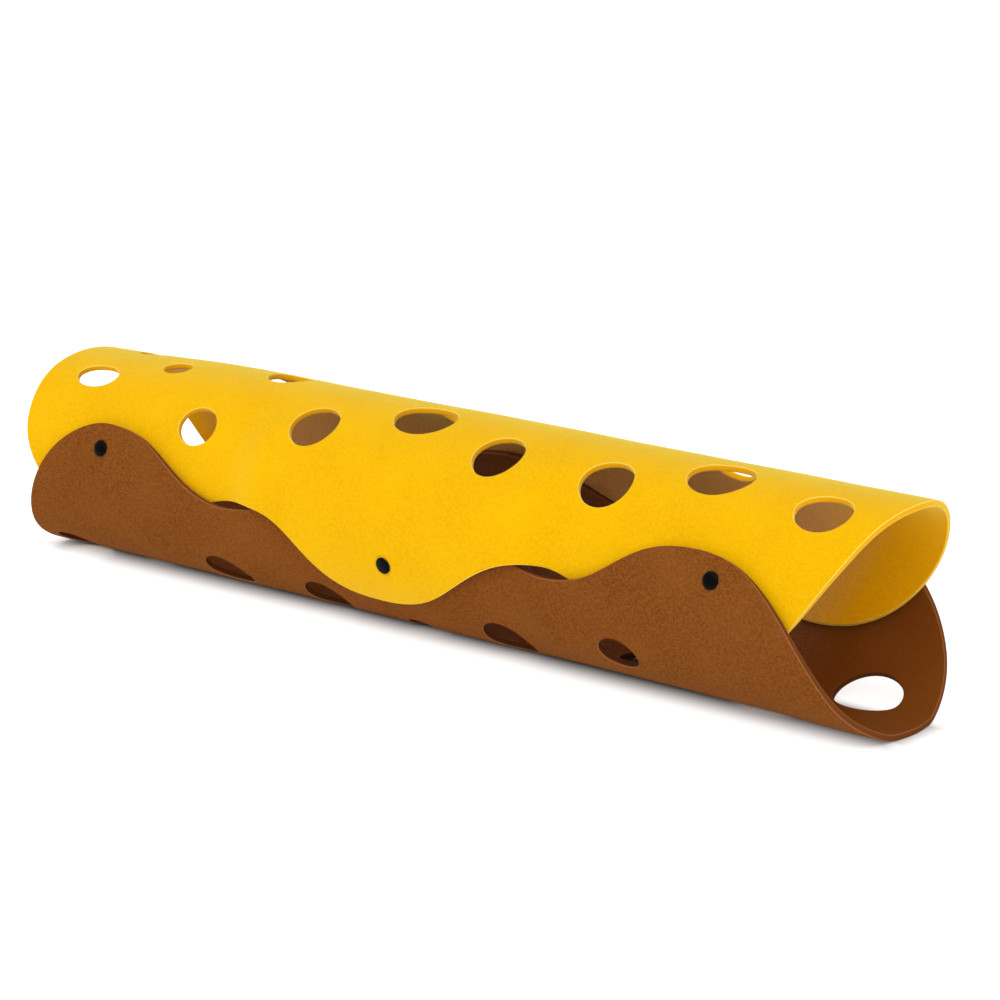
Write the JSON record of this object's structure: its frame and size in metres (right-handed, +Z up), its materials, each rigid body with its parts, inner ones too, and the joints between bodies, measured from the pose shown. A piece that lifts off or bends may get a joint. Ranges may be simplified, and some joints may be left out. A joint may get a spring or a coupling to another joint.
{
  "type": "cat tunnel bed",
  "caption": "Open-ended pet tunnel of two thick felt sheets with wavy sides and oval holes, one arched over the other and closed along both sides by snap fasteners.",
  "frame": {"origin": "on the floor, under the middle of the tunnel's length and width", "axes": "+X along the tunnel, towards the end that opens widest to the viewer; +Y across it; +Z up"},
  "size_m": [1.0098, 0.2187, 0.2043],
  "materials": {
    "yellow_felt": "matt needled wool felt, golden yellow, 6 mm thick, with faint fibres and a lighter cut edge",
    "brown_felt": "matt needled wool felt, chestnut brown, 6 mm thick, with faint mottling and a lighter cut edge",
    "black_snap": "smooth black moulded cap with a soft gloss"
  },
  "bodies": {
    "root": {"yellow_sheet": "yellow_felt", "brown_sheet": "brown_felt", "snap_cap_near_left": "black_snap", "snap_back_near_left": "black_snap", "snap_cap_near_middle": "black_snap", "snap_back_near_middle": "black_snap", "snap_cap_near_right": "black_snap", "snap_back_near_right": "black_snap", "snap_cap_far_left": "black_snap", "snap_back_far_left": "black_snap", "snap_cap_far_middle": "black_snap", "snap_back_far_middle": "black_snap", "snap_cap_far_right": "black_snap", "snap_back_far_right": "black_snap"}
  },
  "joints": []
}
